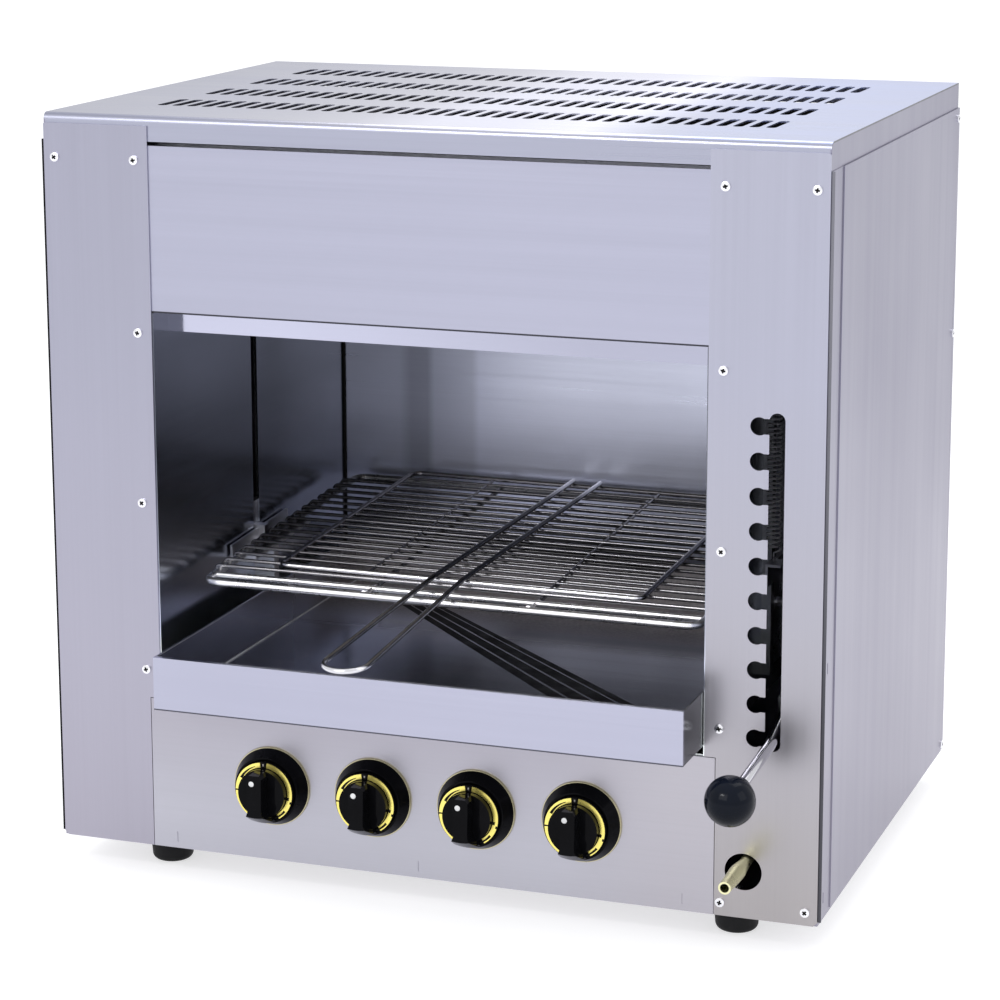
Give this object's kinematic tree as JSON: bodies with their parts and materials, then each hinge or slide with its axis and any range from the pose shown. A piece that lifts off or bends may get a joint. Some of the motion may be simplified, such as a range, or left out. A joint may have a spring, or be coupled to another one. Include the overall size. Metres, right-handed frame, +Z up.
{
  "type": "cheese melter",
  "caption": "Countertop gas cheese melter with overhead infrared burners, notched lift lever, counterweighted wire rack, hand grill, drip tray and push-turn gas knobs",
  "frame": {"origin": "On the plane of the feet's soles, below the middle of the whole object's length and width at rest", "axes": "+X to the object's right as seen from the front, +Y to the rear, +Z up; the knobs and cavity face -Y"},
  "size_m": [0.6068, 0.5546, 0.588],
  "materials": {
    "casing_steel": "satin",
    "cavity_steel": "satin",
    "tray_steel": "satin",
    "lift_steel": "satin",
    "bright_wire": "gloss",
    "lever_chrome": "gloss",
    "screw_steel": "gloss",
    "spring_steel": "satin",
    "black_plastic": "gloss",
    "gold_trim": "gloss",
    "foot_rubber": "matte",
    "brass": "satin",
    "burner_iron": "matte",
    "burner_ceramic": "matte",
    "gas_aluminium": "satin"
  },
  "bodies": {
    "cabinet": {"base_pan": "casing_steel", "rubber_feet": "foot_rubber", "foot_studs": "screw_steel", "left_side_wall": "casing_steel", "right_side_wall": "casing_steel", "access_panels": "casing_steel", "rear_panel": "casing_steel", "top_cover": "casing_steel", "hood_front_panel": "casing_steel", "left_pillar_cover": "casing_steel", "right_pillar_cover": "casing_steel", "control_panel": "casing_steel", "left_liner": "cavity_steel", "right_liner": "cavity_steel", "back_liner": "cavity_steel", "heat_shield": "cavity_steel", "tray_runners": "cavity_steel", "burner_box": "cavity_steel", "burner_housings": "burner_iron", "burner_plaques": "burner_ceramic", "burner_screens": "lift_steel", "mixing_tubes": "gas_aluminium", "injectors": "brass", "feed_pipes": "gas_aluminium", "gas_manifold": "gas_aluminium", "valve_bodies": "brass", "inlet_elbow": "brass", "hose_nipple": "brass", "knob_bezels": "black_plastic", "bezel_rims": "gold_trim", "carrier_guides": "lift_steel", "spring_brackets": "lift_steel", "counter_springs": "spring_steel", "shaft_bearings": "lift_steel", "panel_screws": "screw_steel"},
    "lift": {"lift_shaft": "lift_steel", "lift_arms": "lift_steel", "lever_clevis": "lift_steel", "clevis_pin": "lift_steel"},
    "lever": {"lever_bar": "lift_steel", "lever_rod": "lever_chrome", "lever_ball": "black_plastic"},
    "carriers": {"left_carrier": "lift_steel", "right_carrier": "lift_steel"},
    "rack": {"main_rack": "bright_wire"},
    "grill": {"hand_grill": "bright_wire", "grill_handle": "bright_wire"},
    "tray": {"drip_tray": "tray_steel"},
    "stem_1": {"valve_stem_1": "lift_steel"},
    "control_1": {"knob_1": "black_plastic", "dial_ring_1": "gold_trim"},
    "stem_2": {"valve_stem_2": "lift_steel"},
    "control_2": {"knob_2": "black_plastic", "dial_ring_2": "gold_trim"},
    "stem_3": {"valve_stem_3": "lift_steel"},
    "control_3": {"knob_3": "black_plastic", "dial_ring_3": "gold_trim"},
    "stem_4": {"valve_stem_4": "lift_steel"},
    "control_4": {"knob_4": "black_plastic", "dial_ring_4": "gold_trim"}
  },
  "joints": [
    {"name": "lever_swing", "type": "hinge", "parent": "cabinet", "child": "lift", "pos_m": [0, 0.24335, 0.2744], "axis": [-1, 0, 0], "range_deg": [0, 31.81]},
    {"name": "lever_latch", "type": "hinge", "parent": "lift", "child": "lever", "pos_m": [0.2652, 0.21738, 0.267], "axis": [0, 0.274, -0.9617], "range_deg": [0, 1.93]},
    {"name": "carrier_lift", "type": "slide", "parent": "cabinet", "child": "carriers", "axis": [0, 0, 1], "range_m": [0, 0.12404], "deforming": ["counter_springs"]},
    {"name": "rack_lift", "type": "slide", "parent": "carriers", "child": "rack", "axis": [0, 0, 1], "range_m": [0, 0.03]},
    {"name": "grill_slide", "type": "slide", "parent": "rack", "child": "grill", "axis": [0, -0.9988, -0.0489], "range_m": [0, 0.3]},
    {"name": "tray_slide", "type": "slide", "parent": "cabinet", "child": "tray", "axis": [0, -1, 0], "range_m": [0, 0.3]},
    {"name": "knob_turn_1", "type": "hinge", "parent": "cabinet", "child": "stem_1", "pos_m": [-0.123, -0.15465, 0.084], "axis": [0, -1, 0], "range_deg": [0, 210]},
    {"name": "knob_push_1", "type": "slide", "parent": "stem_1", "child": "control_1", "axis": [0, 1, 0], "range_m": [0, 0.004], "stiffness_N_per_m": 800},
    {"name": "knob_turn_2", "type": "hinge", "parent": "cabinet", "child": "stem_2", "pos_m": [-0.041, -0.15465, 0.084], "axis": [0, -1, 0], "range_deg": [0, 210]},
    {"name": "knob_push_2", "type": "slide", "parent": "stem_2", "child": "control_2", "axis": [0, 1, 0], "range_m": [0, 0.004], "stiffness_N_per_m": 800},
    {"name": "knob_turn_3", "type": "hinge", "parent": "cabinet", "child": "stem_3", "pos_m": [0.041, -0.15465, 0.084], "axis": [0, -1, 0], "range_deg": [0, 210]},
    {"name": "knob_push_3", "type": "slide", "parent": "stem_3", "child": "control_3", "axis": [0, 1, 0], "range_m": [0, 0.004], "stiffness_N_per_m": 800},
    {"name": "knob_turn_4", "type": "hinge", "parent": "cabinet", "child": "stem_4", "pos_m": [0.123, -0.15465, 0.084], "axis": [0, -1, 0], "range_deg": [0, 210]},
    {"name": "knob_push_4", "type": "slide", "parent": "stem_4", "child": "control_4", "axis": [0, 1, 0], "range_m": [0, 0.004], "stiffness_N_per_m": 800}
  ],
  "couplings": [
    {"joint": "carrier_lift", "follows": "lever_swing", "m_per_rad": 0.22326}
  ]
}
